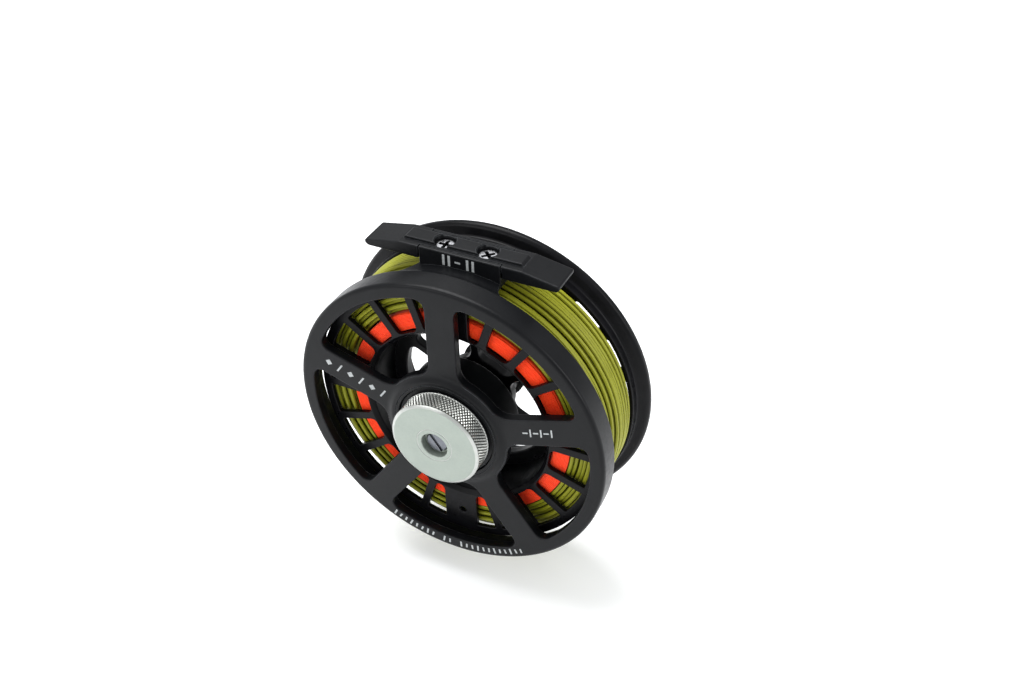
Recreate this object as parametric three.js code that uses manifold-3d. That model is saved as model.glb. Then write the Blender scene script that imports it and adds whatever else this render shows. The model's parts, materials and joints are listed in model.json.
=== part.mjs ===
// Large-arbor fly reel: open frame, sealed disc drag, vented spool with backing and fly line.
// Millimetres, +Z up towards the rod, +Y along the spool axis from the drag side to the
// handle side, +X along the rod. The origin is the middle of the foot's top seating face.
import * as THREE from 'three';
import { mergeVertices } from 'three/addons/utils/BufferGeometryUtils.js';
import Module from 'manifold-3d';

const wasm = await Module();
wasm.setup();

// ---------------------------------------------------------------- driving dimensions
const GAP = 0.3;                 // clearance between pieces that touch
const FINE = 48;                 // sides of a large round piece
const MEDIUM = 24;               // sides of a hub-sized round piece
const SMALL = 16;                // sides of a small round piece
const THROUGH = [-20, 80];       // length of a cutter that goes right through

// y is measured from the front face of the frame ring, z and x from the spool axis.
const RING_R = 52.5;             // half of the 105 mm frame
const RING_DEPTH = 8.3;
const RING_BORE = 50.2;
const WINDOW_R = 47.8;
const FACE_T = 3.2;
const EDGE = 0.5;                // broken edge of the ring
const ARM_COUNT = 5;
const ARM_HALF = 4.8;
const ARM_CORNER = 3.6;          // corner radius of the frame's windows
const HUB_R = 20.2;

const HOUSING_R = 18.4;          // drag housing tube on the back of the hub
const HOUSING_BORE = 16.2;
const HOUSING_END = 14.0;

const POST_HALF = 13.3;          // half width of the foot post
const POST_Y = [13.7, 24.3];
const POST_ROOT = 44;            // height of the underside of the post, inside the bridge
const BRIDGE_R = [50.1, 51.3];   // inner and outer radius of the bridge over the line
const FLARE_LEFT = [13.2, 9.2];  // width and depth of the curve from the ring to the post
const FLARE_RIGHT = [4.6, 5.4];
const LIP = 1.2;                 // wall left standing on each side of the foot's bed
const FOOT_BED = 52.9;           // height of the bed that the foot's middle rests on
const FOOT_TOP = 55.8;
const RIB_TOP = 56.6;            // seating face of the foot
const FOOT_LENGTH = 63.5;
const FOOT_MID_Y = (POST_Y[0] + POST_Y[1]) / 2;
const SCREW_X = 7.0;
const RIB_HALF = 2.7;            // half width of the rib along the foot
const FOOT_TAPER_X = 20;         // where the foot starts to thin out

const KNOB_R = 14.9;
const KNOB_FRONT = -7.7;
const KNOB_SEAT = -5.0;          // floor of the knob's recess, under the screw's head

const NEAR_FLANGE = { r: 48.6, y: [6.2, 7.8] };
const FAR_FLANGE_Y = [30.2, 31.8];
const RIM_R = 53.7;
const RIM_BACK = 37.5;
const ARBOR_R = 32.0;
const ARBOR_BORE = 30.6;
const SPOKE_COUNT = 20;
const SPOKE_START = 54;          // degrees, centre of one spoke
const NEAR_SPOKE_HALF = 1.35;
const FAR_SPOKE_HALF = 2.1;
const WIDE_SPOKES = [-90, 90];    // degrees, the two wide spokes of the near flange
const WIDE_SPOKE_HALF = 5.8;
const SPOKE_CORNER = 1.3;
const TIE_HOLE_R = 1.2;           // line-tie hole in the lower wide spoke
const TIE_HOLE_RADIUS = 39.9;
const TIE_HOLE_ANGLE = -89;
const BACKING_R = 38.1;
const LINE_R = 49.5;

const WEB_Y = [21.8, 25.0];      // spoked web between the hub tube and the arbor
const WEB_WINDOWS = 6;
const WEB_WINDOW_START = 3;      // degrees, centre of one web window
const WEB_WINDOW_R = [12.2, 26.0];
const WEB_ARM_HALF = 1.3;
const WEB_CORNER = 3.0;
const HUB_TUBE_R = 9.6;
const SPINDLE_R = 3.2;
const GROOVE_R = 2.3;            // groove near the spindle's end that the latch drops into
const HANDLE_ANGLE = 243;        // degrees round the spool
const HANDLE_RADIUS = 41.5;
const STUD_R = 2.0;              // studs of the handle post and the counterweight screw
const LATCH_TRAVEL = 3.4;

// ---------------------------------------------------------------- finishes
const finish = (color, roughness, metalness) =>
  new THREE.MeshStandardMaterial({ color, roughness, metalness });
const anodised = finish(0x2b2d30, 0.45, 0.6);
const silver = finish(0xb4bab3, 0.35, 0.9);
const steel = finish(0xb9babd, 0.28, 1.0);
const darkSteel = finish(0x6b6d70, 0.35, 1.0);
const carbon = finish(0x1d1e20, 0.6, 0.1);
const rubber = finish(0x121212, 0.85, 0.0);
const bronze = finish(0xa9803d, 0.4, 0.9);
const resin = finish(0x17181a, 0.55, 0.0);
const backingOrange = finish(0xff4a1e, 0.8, 0.0);
const lineOlive = finish(0x8f8f22, 0.6, 0.0);

// ---------------------------------------------------------------- geometry helpers
const rad = THREE.MathUtils.degToRad;
const polar = (r, degrees) => [r * Math.cos(rad(degrees)), r * Math.sin(rad(degrees))];

// One closed, outward-facing, position-only mesh without flat triangles.
function cleaned(geometry) {
  const bare = geometry.clone();
  for (const name of Object.keys(bare.attributes)) {
    if (name !== 'position') bare.deleteAttribute(name);
  }
  const merged = mergeVertices(bare, 1e-4);
  const source = merged.index.array;
  const kept = [];
  for (let i = 0; i < source.length; i += 3) {
    const [a, b, c] = [source[i], source[i + 1], source[i + 2]];
    if (a !== b && b !== c && c !== a) kept.push(a, b, c);
  }
  const p = merged.attributes.position.array;
  let volume = 0;
  const corner = (i) => new THREE.Vector3(p[3 * i], p[3 * i + 1], p[3 * i + 2]);
  for (let i = 0; i < kept.length; i += 3) {
    volume += corner(kept[i]).dot(corner(kept[i + 1]).cross(corner(kept[i + 2])));
  }
  if (volume < 0) {
    for (let i = 0; i < kept.length; i += 3) [kept[i], kept[i + 1]] = [kept[i + 1], kept[i]];
  }
  merged.setIndex(kept);
  return merged;
}

function solid(geometry) {
  const tidy = cleaned(geometry);
  return new wasm.Manifold(new wasm.Mesh({
    numProp: 3,
    vertProperties: new Float32Array(tidy.attributes.position.array),
    triVerts: new Uint32Array(tidy.index.array),
  }));
}

function geometryOf(manifold) {
  const mesh = manifold.getMesh();
  const geometry = new THREE.BufferGeometry();
  geometry.setAttribute('position', new THREE.BufferAttribute(mesh.vertProperties, 3));
  geometry.setIndex(new THREE.BufferAttribute(mesh.triVerts, 1));
  return geometry;
}

// A profile of [radius, y] points turned about the spool axis.
function turned(profile, sides) {
  const points = profile.map(([r, y]) => new THREE.Vector2(r, y));
  const onAxis = profile[0][0] === 0 && profile.at(-1)[0] === 0;
  if (!onAxis) points.push(points[0].clone());
  return new THREE.LatheGeometry(points, sides);
}

const ring = (inner, outer, y0, y1, sides) =>
  turned([[inner, y0], [outer, y0], [outer, y1], [inner, y1]], sides);
const rod = (r, y0, y1, sides) => turned([[0, y0], [r, y0], [r, y1], [0, y1]], sides);

// An x-z outline carried from y0 to y1.
function plate(shape, y0, y1, curveSegments = 2) {
  const options = { depth: y1 - y0, bevelEnabled: false, curveSegments };
  const geometry = new THREE.ExtrudeGeometry(shape, options);
  return geometry.rotateX(Math.PI / 2).translate(0, y1, 0);
}

const outline = (points) => new THREE.Shape(points.map(([x, z]) => new THREE.Vector2(x, z)));

function box(x, y, z) {
  const geometry = new THREE.BoxGeometry(x[1] - x[0], y[1] - y[0], z[1] - z[0]);
  return geometry.translate((x[0] + x[1]) / 2, (y[0] + y[1]) / 2, (z[0] + z[1]) / 2);
}

// A rod standing along z.
const upright = (profile, x, y, sides) =>
  turned(profile, sides).rotateX(Math.PI / 2).translate(x, y, 0);

const spin = (geometry, degrees) => geometry.rotateY(-rad(degrees));
const moved = (geometry, radius, degrees) => {
  const [x, z] = polar(radius, degrees);
  return geometry.translate(x, 0, z);
};

function hexagon(flats) {
  const corners = [];
  for (let i = 0; i < 6; i += 1) corners.push(polar(flats / Math.sqrt(3), 60 * i));
  return outline(corners);
}

// A window between two straight edges that run beside spokes, closed by two arcs.
// halfPitch is half the angle between the spokes; the window is centred on +X.
function windowShape(rIn, rOut, halfPitch, spokeHalf, corner, nextHalf = spokeHalf) {
  const edgeAngle = (r, half) => rad(halfPitch) - Math.asin(half / r);
  const at = (r, angle) => new THREE.Vector2(r * Math.cos(angle), r * Math.sin(angle));
  const shape = new THREE.Shape();
  const steps = Math.max(1, Math.round(halfPitch / 9));
  const arcTo = (r, from, to) => {
    for (let i = 1; i <= steps; i += 1) {
      const p = at(r, from + (to - from) * (i / steps));
      shape.lineTo(p.x, p.y);
    }
  };
  const bend = (control, end) => shape.quadraticCurveTo(control.x, control.y, end.x, end.y);
  const low = (r) => -edgeAngle(r, spokeHalf);
  const high = (r) => edgeAngle(r, nextHalf);
  const turnOut = corner / rOut;
  const turnIn = corner / rIn;
  const start = at(rIn + corner, low(rIn + corner));
  shape.moveTo(start.x, start.y);
  const nearOut = at(rOut - corner, low(rOut - corner));
  shape.lineTo(nearOut.x, nearOut.y);
  bend(at(rOut, low(rOut)), at(rOut, low(rOut) + turnOut));
  arcTo(rOut, low(rOut) + turnOut, high(rOut) - turnOut);
  bend(at(rOut, high(rOut)), at(rOut - corner, high(rOut - corner)));
  const nearIn = at(rIn + corner, high(rIn + corner));
  shape.lineTo(nearIn.x, nearIn.y);
  bend(at(rIn, high(rIn)), at(rIn, high(rIn) - turnIn));
  arcTo(rIn, high(rIn) - turnIn, low(rIn) + turnIn);
  bend(at(rIn, low(rIn)), start);
  return shape;
}

// ---------------------------------------------------------------- assembly list
const reel = new THREE.Group();
reel.position.set(0, -FOOT_MID_Y, -RIB_TOP);

function add(name, shape, material) {
  const geometry = shape.getMesh ? geometryOf(shape) : cleaned(shape);
  const mesh = new THREE.Mesh(geometry, material);
  mesh.name = name;
  reel.add(mesh);
}

// ---------------------------------------------------------------- frame
const PIN_CIRCLE = 9.3;
const PIN_R = 1.0;
const SEAL_R = 13.7;

// The bridge's plan: as wide as the post at the back, with a hollow curve out to the ring.
function bridgeSector() {
  const points = [];
  const front = RING_DEPTH - 1.2;
  for (const [side, [width, depth]] of [[-1, FLARE_LEFT], [1, FLARE_RIGHT]]) {
    const half = [[side * (POST_HALF + width), front]];
    const steps = 5;
    for (let i = 0; i <= steps; i += 1) {
      const turn = (Math.PI / 2) * (i / steps);
      const x = POST_HALF + width * (1 - Math.sin(turn));
      half.push([side * x, RING_DEPTH + depth * (1 - Math.cos(turn))]);
    }
    half.push([side * POST_HALF, POST_Y[1]]);
    points.push(...(side < 0 ? half : half.reverse()));
  }
  const plan = new THREE.ExtrudeGeometry(outline(points), { depth: RIB_TOP, bevelEnabled: false });
  return solid(plan);
}

function frameSolid() {
  const face = [
    [0, 0], [RING_R - EDGE, 0], [RING_R, EDGE], [RING_R, RING_DEPTH], [RING_BORE, RING_DEPTH],
    [RING_BORE, FACE_T], [0, FACE_T],
  ];
  let body = solid(turned(face, FINE));
  const opening = windowShape(HUB_R + 0.8, WINDOW_R, 180 / ARM_COUNT, ARM_HALF, ARM_CORNER);
  for (let i = 0; i < ARM_COUNT; i += 1) {
    const angle = 90 + (360 / ARM_COUNT) * (i + 0.5);
    body = body.subtract(solid(spin(plate(opening, -1, RING_DEPTH, 3), angle)));
  }
  const collar = [[16.4, 1], [16.4, -0.9], [18.6, -0.9], [HUB_R - 0.2, 0.4], [HUB_R - 0.2, 1]];
  body = body.add(solid(turned(collar, MEDIUM)));
  body = body.add(solid(ring(HOUSING_BORE, HOUSING_R, FACE_T - 1, HOUSING_END, MEDIUM)));

  // The bridge runs back from the ring over the line to the post that carries the foot.
  const bridgeEnd = RING_DEPTH + FLARE_LEFT[1];
  const bridge = [
    [BRIDGE_R[0], RING_DEPTH - 1], [RING_R - 0.1, RING_DEPTH - 1], [RING_R - 0.1, RING_DEPTH],
    [BRIDGE_R[1] + 0.4, RING_DEPTH + 0.6], [BRIDGE_R[1], RING_DEPTH + 1.6],
    [BRIDGE_R[1], bridgeEnd], [BRIDGE_R[0], bridgeEnd],
  ];
  body = body.add(solid(turned(bridge, FINE)).intersect(bridgeSector()));
  let post = solid(box([-POST_HALF, POST_HALF], POST_Y, [POST_ROOT, FOOT_TOP]));
  post = post.subtract(solid(rod(BRIDGE_R[0], ...THROUGH, FINE)));
  const bedX = [-POST_HALF - 1, POST_HALF + 1];
  const bed = box(bedX, [POST_Y[0] + LIP, POST_Y[1] - LIP], [FOOT_BED, RIB_TOP]);
  body = body.add(post.subtract(solid(bed)));
  for (const x of [-SCREW_X, SCREW_X]) {
    const hole = [[0, POST_ROOT], [1.5, POST_ROOT], [1.5, RIB_TOP], [0, RIB_TOP]];
    body = body.subtract(solid(upright(hole, x, FOOT_MID_Y, SMALL)));
  }

  // Centre bore, the push-pin holes and the seal groove under the drag knob.
  body = body.subtract(solid(rod(SPINDLE_R + GAP, ...THROUGH, SMALL)));
  for (let i = 0; i < 3; i += 1) {
    const hole = moved(rod(PIN_R + GAP, -5, 10, SMALL), PIN_CIRCLE, 90 + 120 * i);
    body = body.subtract(solid(hole));
  }
  return body.subtract(solid(ring(SEAL_R - 0.8, SEAL_R + 0.8, -1, 1.3, MEDIUM)));
}

// ---------------------------------------------------------------- foot
function footSolid() {
  const half = FOOT_LENGTH / 2;
  const reach = POST_HALF + GAP;
  const under = 51.6;
  const bed = FOOT_BED + GAP;
  const side = outline([
    [-half, 52.4], [-half + 1, under], [-reach, under], [-reach, bed], [reach, bed], [reach, under],
    [half - 1, under], [half, 52.4], [half, 53.6], [FOOT_TAPER_X, FOOT_TOP],
    [-FOOT_TAPER_X, FOOT_TOP], [-half, 53.6],
  ]);
  let foot = solid(plate(side, POST_Y[0], POST_Y[1]));
  const frontLip = [POST_Y[0] - 1, POST_Y[0] + LIP + GAP];
  const backLip = [POST_Y[1] - LIP - GAP, POST_Y[1] + 1];
  for (const lip of [frontLip, backLip]) {
    foot = foot.subtract(solid(box([-reach, reach], lip, [under, RIB_TOP])));
  }
  const ribEnd = FOOT_TAPER_X - 1;
  const rib = outline([
    [-FOOT_TAPER_X, FOOT_TOP - 1], [FOOT_TAPER_X, FOOT_TOP - 1], [ribEnd, RIB_TOP], [-ribEnd, RIB_TOP],
  ]);
  foot = foot.add(solid(plate(rib, FOOT_MID_Y - RIB_HALF, FOOT_MID_Y + RIB_HALF)));
  for (const x of [-SCREW_X, SCREW_X]) {
    const sink = [[0, 50], [1.8, 50], [1.8, 53.1], [3.3, 54.6], [3.3, 60], [0, 60]];
    foot = foot.subtract(solid(upright(sink, x, FOOT_MID_Y, SMALL)));
  }
  return foot;
}

function footScrew(x) {
  const profile = [[0, 50.6], [1.2, 50.6], [1.2, 53.0], [3.0, 54.7], [2.8, 54.9], [0, 54.9]];
  let screw = solid(upright(profile, x, FOOT_MID_Y, SMALL));
  const [slotHalf, slotReach] = [0.5, 1.9];
  for (const [w, l] of [[slotHalf, slotReach], [slotReach, slotHalf]]) {
    const slot = box([x - w, x + w], [FOOT_MID_Y - l, FOOT_MID_Y + l], [54.0, 56]);
    screw = screw.subtract(solid(slot));
  }
  return screw;
}

// ---------------------------------------------------------------- drag knob and adjuster
function knobSolid() {
  const profile = [
    [2.6, KNOB_SEAT], [4.45, KNOB_SEAT], [4.45, KNOB_FRONT + 0.3], [4.75, KNOB_FRONT],
    [KNOB_R - 0.9, KNOB_FRONT], [KNOB_R, KNOB_FRONT + 0.8], [KNOB_R, -0.4], [12.6, -0.4],
    [12.6, -5.2], [6.4, -5.2], [6.4, KNOB_SEAT + 0.8], [2.6, KNOB_SEAT + 0.8],
  ];
  return turned(profile, 48);
}

function knobScrew() {
  const under = KNOB_SEAT - 0.3;
  const front = under - 0.8;
  const profile = [
    [0, front], [3.3, front], [3.6, front + 0.3], [3.6, under], [2.2, under], [1.9, KNOB_SEAT],
    [1.9, -1.6], [0, -1.6],
  ];
  const slot = box([-5, 5], [-8, front + 0.5], [-0.7, 0.7]);
  return solid(turned(profile, SMALL)).subtract(solid(spin(slot, -55)));
}

function adjusterNut() {
  let nut = solid(ring(7.2, 12.2, -4.6, -2.6, MEDIUM));
  const slot = box([11.4, 13], [-5, 0], [-1, 1]);
  for (let i = 0; i < 3; i += 1) {
    nut = nut.subtract(solid(spin(slot.clone(), 30 + 120 * i)));
  }
  return nut;
}

// ---------------------------------------------------------------- spindle
function spindleSolid() {
  const profile = [
    [0, -1.2], [2.2, -1.2], [2.2, -4.1], [3.0, -4.1], [3.0, 3.0], [SPINDLE_R, 3.0], [SPINDLE_R, 3.5],
    [5.6, 3.5], [5.6, 4.3], [SPINDLE_R, 4.3], [SPINDLE_R, 33.4], [GROOVE_R, 33.4], [GROOVE_R, 34.8],
    [SPINDLE_R, 34.8], [SPINDLE_R, 35.6], [2.4, 36.2], [0, 36.2],
  ];
  return turned(profile, SMALL);
}

// ---------------------------------------------------------------- click gear and pawl
const CLICK_Y = [15.0, 16.4];
const PAWL_PIVOT = [0, -12.4];
const PAWL_PIN_R = 0.8;
const HEX_FLATS = 12.6;          // across the flats of the drive hub

function clickGear() {
  const teeth = 24;
  const points = [];
  for (let i = 0; i < teeth; i += 1) {
    points.push(polar(8.7, (360 / teeth) * i), polar(9.6, (360 / teeth) * (i + 0.5)));
  }
  const bore = solid(plate(hexagon(HEX_FLATS + 1), ...THROUGH));
  return solid(plate(outline(points), ...CLICK_Y)).subtract(bore);
}

function clickPawl() {
  const shape = outline([
    [-3.2, -9.45], [-0.9, -10.6], [1.9, -10.9], [2.2, -12.4], [1.6, -14.0], [-0.8, -14.3],
    [-2.4, -12.6],
  ]);
  const bore = rod(PAWL_PIN_R + GAP, ...THROUGH, SMALL).translate(PAWL_PIVOT[0], 0, PAWL_PIVOT[1]);
  return solid(plate(shape, ...CLICK_Y)).subtract(solid(bore));
}

const SPRING_ANCHOR = [-8.0, -15.2];

function pawlSpring() {
  const leaf = outline([[-3.8, -11.1], [-4.2, -10.9], [-8.9, -14.6], [-7.4, -14.6]]);
  const eye = solid(rod(1.6, ...CLICK_Y, SMALL).translate(SPRING_ANCHOR[0], 0, SPRING_ANCHOR[1]));
  const hole = solid(rod(1.0, ...THROUGH, SMALL).translate(SPRING_ANCHOR[0], 0, SPRING_ANCHOR[1]));
  return solid(plate(leaf, ...CLICK_Y)).add(eye).subtract(hole);
}

// ---------------------------------------------------------------- spool
const HUB_TUBE_Y = [17.2, 33.0];
const BEARING = { inner: SPINDLE_R + GAP, race: 4.4, outerRace: 6.1, outer: 7.0 };
const BEARING_FRONT = [21.2, 24.2];
const BEARING_REAR = [28.8, 31.8];

const sameAngle = (a, b) => Math.cos(rad(a - b)) > 0.9995;
const isWide = (angle) => WIDE_SPOKES.some((wide) => sameAngle(angle, wide));

// The openings between a flange's spokes, one for each pitch that isn't in skipped.
function flangeWindows(rIn, rOut, spokeHalf, wideHalf, y, skipped) {
  const pitch = 360 / SPOKE_COUNT;
  const cuts = [];
  for (let i = 0; i < SPOKE_COUNT; i += 1) {
    const centre = SPOKE_START + pitch * (i + 0.5);
    if (skipped.some((angle) => sameAngle(centre, angle))) continue;
    const before = isWide(centre - pitch / 2) ? wideHalf : spokeHalf;
    const after = isWide(centre + pitch / 2) ? wideHalf : spokeHalf;
    const shape = windowShape(rIn, rOut, pitch / 2, before, SPOKE_CORNER, after);
    cuts.push(solid(spin(plate(shape, ...y, 1), centre)));
  }
  return cuts;
}

function spoolSolid() {
  const [farFront, farBack] = FAR_FLANGE_Y;
  const [nearFront, nearBack] = NEAR_FLANGE.y;
  // Near flange, arbor, far flange and flared palming rim in one closed section.
  const section = [
    [ARBOR_BORE, nearBack - 0.2], [ARBOR_R - 0.1, nearFront], [NEAR_FLANGE.r, nearFront],
    [NEAR_FLANGE.r, nearBack],
    [ARBOR_R, nearBack], [ARBOR_R, farFront], [50.0, farFront], [50.0, 33.4], [52.9, 34.4],
    [RIM_R, 35.3], [RIM_R, RIM_BACK - 0.8], [RIM_R - 0.6, RIM_BACK], [51.8, RIM_BACK],
    [51.4, RIM_BACK - 0.5], [51.4, 35.2], [48.9, 34.4], [48.9, farBack], [ARBOR_BORE, farBack],
  ];
  let body = solid(turned(section, FINE));
  const handlePads = [HANDLE_ANGLE, HANDLE_ANGLE - 180];
  const nearCuts = flangeWindows(ARBOR_R + 0.2, 45.6, NEAR_SPOKE_HALF, WIDE_SPOKE_HALF,
    [nearFront - 1, nearBack + 0.1], []);
  const farCuts = flangeWindows(34.0, 48.6, FAR_SPOKE_HALF, FAR_SPOKE_HALF,
    [farFront - 0.1, farBack + 1], handlePads);
  for (const cut of [...nearCuts, ...farCuts]) body = body.subtract(cut);

  // Open web that ties the arbor to the hub tube.
  const tube = ring(BEARING.outer + GAP, HUB_TUBE_R, HUB_TUBE_Y[0], HUB_TUBE_Y[1], MEDIUM);
  body = body.add(solid(tube));
  let web = solid(ring(HUB_TUBE_R - 0.5, ARBOR_BORE + 0.5, ...WEB_Y, FINE));
  const opening = windowShape(...WEB_WINDOW_R, 180 / WEB_WINDOWS, WEB_ARM_HALF, WEB_CORNER);
  for (let i = 0; i < WEB_WINDOWS; i += 1) {
    const centre = WEB_WINDOW_START + (360 / WEB_WINDOWS) * i;
    web = web.subtract(solid(spin(plate(opening, ...THROUGH), centre)));
  }
  body = body.add(web);
  body = body.add(solid(ring(SPINDLE_R + 0.5, BEARING.outer + 1, 32.2, HUB_TUBE_Y[1], MEDIUM)));

  // Hexagonal socket for the drive hub in the tube's front end.
  let socket = solid(rod(BEARING.outer + 1, HUB_TUBE_Y[0], 20.6, MEDIUM));
  socket = socket.subtract(solid(plate(hexagon(HEX_FLATS + 2 * GAP), ...THROUGH)));
  body = body.add(socket);

  // Bosses for the handle post and the counterweight, and the line-tie hole.
  for (const angle of [HANDLE_ANGLE, HANDLE_ANGLE + 180]) {
    body = body.add(solid(moved(rod(5.6, farFront + 0.2, 33.6, SMALL), HANDLE_RADIUS, angle)));
    const hole = moved(rod(STUD_R + GAP, 25, 40, SMALL), HANDLE_RADIUS, angle);
    body = body.subtract(solid(hole));
  }
  const tieHole = moved(rod(TIE_HOLE_R, 0, 10, SMALL), TIE_HOLE_RADIUS, TIE_HOLE_ANGLE);
  return body.subtract(solid(tieHole));
}

function driveHub() {
  const profile = [
    [SPINDLE_R + GAP, 5.0], [4.9, 5.0], [4.9, 13.2], [6.0, 13.2], [6.0, 14.0], [SPINDLE_R + GAP, 14.0],
  ];
  let hub = solid(turned(profile, SMALL));
  let drive = solid(plate(hexagon(HEX_FLATS), 13.9, 20.4));
  drive = drive.subtract(solid(rod(SPINDLE_R + GAP, 10, 25, SMALL)));
  hub = hub.add(drive);
  return hub;
}

function bearing(prefix, [y0, y1], place) {
  const middle = (y0 + y1) / 2;
  const { inner, race, outerRace, outer } = BEARING;
  const cage = ring(race + GAP, outerRace - GAP, middle - 0.8, middle + 0.8, SMALL);
  place(`${prefix}_inner_race`, ring(inner, race, y0, y1, SMALL), steel);
  place(`${prefix}_outer_race`, ring(outerRace, outer, y0, y1, SMALL), steel);
  place(`${prefix}_ball_cage`, cage, bronze);
}

// ---------------------------------------------------------------- spool release
const LATCH_Y = [33.7, 34.5];
const LATCH_HALF = 4.0;

function hubCap() {
  let cap = solid(turned([[0, 33.3], [11.2, 33.3], [11.2, 36.4], [10.2, 37.4], [0, 37.4]], MEDIUM));
  cap = cap.subtract(solid(rod(SPINDLE_R + 0.5, 30, 36.6, SMALL)));
  const slotY = [LATCH_Y[0] - GAP, LATCH_Y[1] + GAP];
  const slotZ = [-LATCH_HALF - GAP, LATCH_HALF + GAP];
  return cap.subtract(solid(box([-10.5, 20], slotY, slotZ)));
}

function releaseLatch() {
  const tab = 11.6 + LATCH_TRAVEL;
  const width = [-LATCH_HALF, LATCH_HALF];
  let latch = solid(box([-4.2, tab + 1], LATCH_Y, width));
  latch = latch.add(solid(box([tab, tab + 1.8], [LATCH_Y[0], 36.6], width)));
  const wide = rod(SPINDLE_R + GAP, 30, 40, SMALL).translate(LATCH_TRAVEL, 0, 0);
  const narrow = rod(GROOVE_R + GAP, 30, 40, SMALL);
  const throat = box([0, LATCH_TRAVEL], [30, 40], [-GROOVE_R - GAP, GROOVE_R + GAP]);
  return latch.subtract(solid(wide)).subtract(solid(narrow)).subtract(solid(throat));
}

function latchSpring() {
  const turns = 4;
  const points = [];
  for (let i = 0; i <= turns * 8; i += 1) {
    const angle = (i / 8) * 2 * Math.PI;
    const x = -9.9 + 1.8 * (i / (turns * 8));
    points.push(new THREE.Vector3(x, 34.1 + 0.42 * Math.cos(angle), 1.6 * Math.sin(angle)));
  }
  const wire = new THREE.Shape().absarc(0, 0, 0.17, 0, 2 * Math.PI, false);
  return new THREE.ExtrudeGeometry(wire, {
    steps: turns * 8, bevelEnabled: false, curveSegments: 3,
    extrudePath: new THREE.CatmullRomCurve3(points),
  });
}

// ---------------------------------------------------------------- handle and counterweight
const HANDLE_Y = [35.0, 55.4];

function handleKnob() {
  const [y0, y1] = HANDLE_Y;
  const profile = [
    [2.9, y0], [6.0, y0], [6.5, y0 + 0.6], [6.3, y0 + 2.5], [5.3, y0 + 7], [5.4, y0 + 11],
    [6.6, y0 + 16.5], [6.6, y0 + 18.5], [5.6, y1], [3.9, y1], [3.9, y1 - 1.8], [2.9, y1 - 1.8],
  ];
  return moved(turned(profile, MEDIUM), HANDLE_RADIUS, HANDLE_ANGLE);
}

function handlePost() {
  const head = HANDLE_Y[1] - 1.5;
  const profile = [
    [0, 31.0], [STUD_R, 31.0], [STUD_R, 34.0], [2.6, 34.0], [2.6, head], [3.5, head],
    [3.5, head + 0.9], [3.2, head + 1.2], [0, head + 1.2],
  ];
  const slot = box([-4, 4], [head + 0.6, head + 3], [-0.4, 0.4]);
  return solid(turned(profile, SMALL)).subtract(solid(slot));
}

function counterweightScrew() {
  const profile = [
    [0, 31.0], [STUD_R, 31.0], [STUD_R, 36.3], [3.2, 36.3], [3.2, 37.0], [2.9, 37.3], [0, 37.3],
  ];
  const slot = box([-4, 4], [36.8, 38], [-0.4, 0.4]);
  return solid(turned(profile, SMALL)).subtract(solid(slot));
}

// ---------------------------------------------------------------- line on the spool
const WOUND = [NEAR_FLANGE.y[1] + GAP, FAR_FLANGE_Y[0] - GAP];

function flyLine() {
  const [y0, y1] = WOUND;
  const inner = BACKING_R + GAP;
  return turned([
    [inner, y0], [LINE_R - 2.2, y0], [LINE_R - 1.3, y0 + 2.5], [LINE_R - 0.9, y0 + 5.2],
    [LINE_R - 0.2, y0 + 8.5], [LINE_R, y0 + 12], [LINE_R, y1 - 1.5], [LINE_R - 0.5, y1], [inner, y1],
  ], FINE);
}

// ---------------------------------------------------------------- build
add('frame', frameSolid(), anodised);
add('reel_foot', footSolid(), anodised);
add('foot_screw_left', footScrew(-SCREW_X), steel);
add('foot_screw_right', footScrew(SCREW_X), steel);

add('drag_knob', knobSolid(), silver);
add('knob_screw', knobScrew(), steel);
add('knob_seal', ring(SEAL_R - 0.5, SEAL_R + 0.5, 0.1, 1.0, MEDIUM), rubber);
add('adjuster_nut', adjusterNut(), bronze);
for (let i = 0; i < 3; i += 1) {
  const pin = moved(rod(PIN_R, -2.3, 3.1, SMALL), PIN_CIRCLE, 90 + 120 * i);
  add(`push_pin_${i + 1}`, pin, steel);
}

add('spindle', spindleSolid(), steel);
const nutBlank = solid(plate(hexagon(9), -2.3, -0.3));
add('spindle_nut', nutBlank.subtract(solid(rod(3.0 + GAP, ...THROUGH, SMALL))), darkSteel);
add('thrust_ring', ring(7.6, 11.2, 4.0, 4.6, MEDIUM), darkSteel);
const springProfile = [[7.0, 4.9], [7.2, 4.9], [11.0, 5.2], [11.0, 5.6], [10.8, 5.6], [7.0, 5.3]];
add('disc_spring', turned(springProfile, MEDIUM), steel);
add('pressure_plate', ring(9.0, 15.6, 5.9, 6.7, MEDIUM), steel);
add('friction_disc_front', ring(9.2, 15.2, 7.0, 7.7, MEDIUM), carbon);
const rotorProfile = [
  [7.4, 6.2], [8.6, 6.2], [8.6, 8.0], [15.2, 8.0], [15.2, 9.0], [8.6, 9.0], [8.6, 10.8], [7.4, 10.8],
];
add('drag_rotor', turned(rotorProfile, MEDIUM), darkSteel);
add('friction_disc_rear', ring(9.2, 15.2, 9.3, 10.0, MEDIUM), carbon);
add('backing_plate', ring(9.0, 15.8, 10.3, 10.9, MEDIUM), steel);
add('one_way_clutch', ring(5.2, 7.1, 6.4, 10.6, MEDIUM), steel);
add('housing_cap', ring(6.6, 15.9, 11.2, 12.6, MEDIUM), anodised);
add('shaft_seal', ring(5.2, 6.3, 11.4, 12.4, SMALL), rubber);
const clip = solid(ring(14.0, 15.9, 12.9, 13.6, MEDIUM));
add('housing_circlip', clip.subtract(solid(box([-2.5, 2.5], [12, 15], [10, 20]))), steel);

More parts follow.
